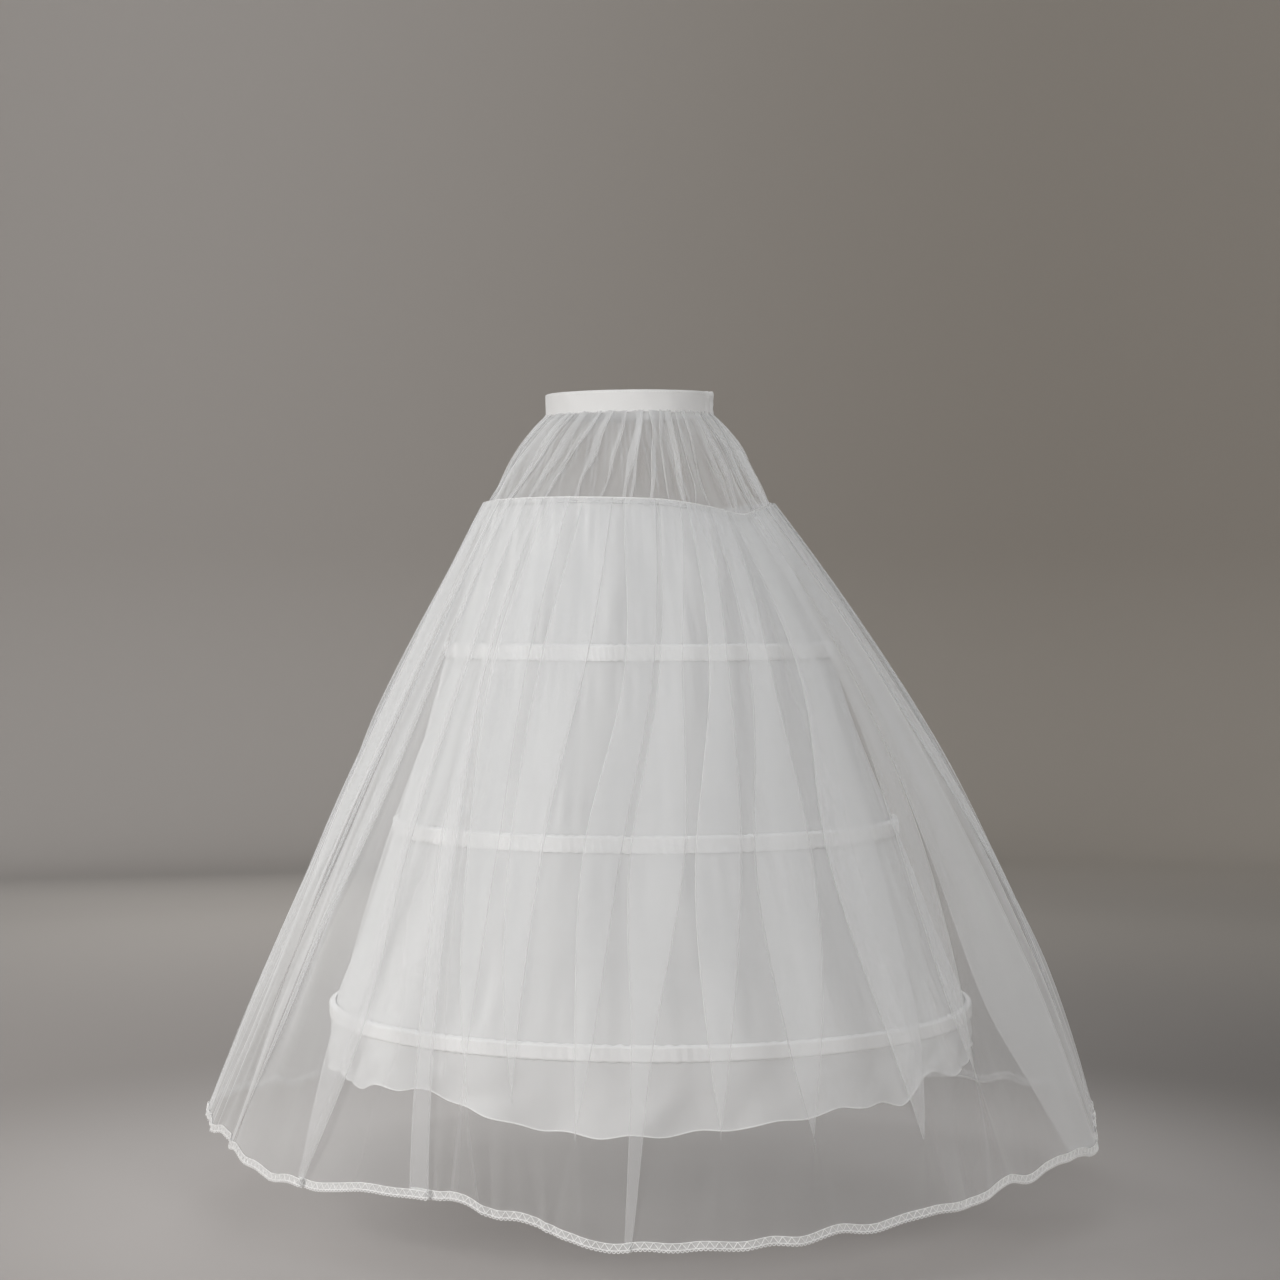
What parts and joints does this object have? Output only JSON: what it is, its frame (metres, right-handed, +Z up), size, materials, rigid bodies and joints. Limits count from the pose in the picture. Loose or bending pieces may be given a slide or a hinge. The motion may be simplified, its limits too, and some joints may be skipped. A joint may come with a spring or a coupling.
{
  "type": "hoop petticoat",
  "caption": "Full-length white bridal hoop petticoat: elastic-backed waistband, gathered net yoke, hooped lining with flounce, and a folded net overlay with a lace hem.",
  "frame": {"origin": "centre of the waist opening, half-way up the waistband", "axes": "+Z up as the garment hangs when worn, its front facing -Y and its left side towards +X"},
  "size_m": [1.0932, 1.0932, 0.946],
  "materials": {
    "waistband_fabric": "close plain weave, matt with a slight sheen",
    "elastic": "knitted elastic, matt",
    "yoke_net": "soft gathered net, see-through",
    "tape": "narrow woven tape, matt",
    "lining_fabric": "thin plain weave, slight sheen",
    "casing_fabric": "plain weave, doubled and stitched",
    "hoop_coating": "white plastic coating over spring steel",
    "joiner_sleeve": "smooth milky plastic",
    "overlay_net": "crisp fine net, see-through",
    "lace": "narrow openwork lace edging"
  },
  "bodies": {
    "root": {"waistband_front": "waistband_fabric", "waistband_back": "waistband_fabric", "waist_elastic": "elastic", "yoke_front": "yoke_net", "yoke_back": "yoke_net", "yoke_seam_tape": "tape", "lining_front": "lining_fabric", "lining_back": "lining_fabric", "flounce_front": "lining_fabric", "flounce_back": "lining_fabric", "casing_top": "casing_fabric", "casing_middle": "casing_fabric", "casing_bottom": "casing_fabric", "hoop_top": "hoop_coating", "hoop_middle": "hoop_coating", "hoop_bottom": "hoop_coating", "hoop_joiner_top": "joiner_sleeve", "hoop_joiner_middle": "joiner_sleeve", "hoop_joiner_bottom": "joiner_sleeve", "overlay_front": "overlay_net", "overlay_back": "overlay_net", "lace_front": "lace", "lace_back": "lace"}
  },
  "joints": []
}
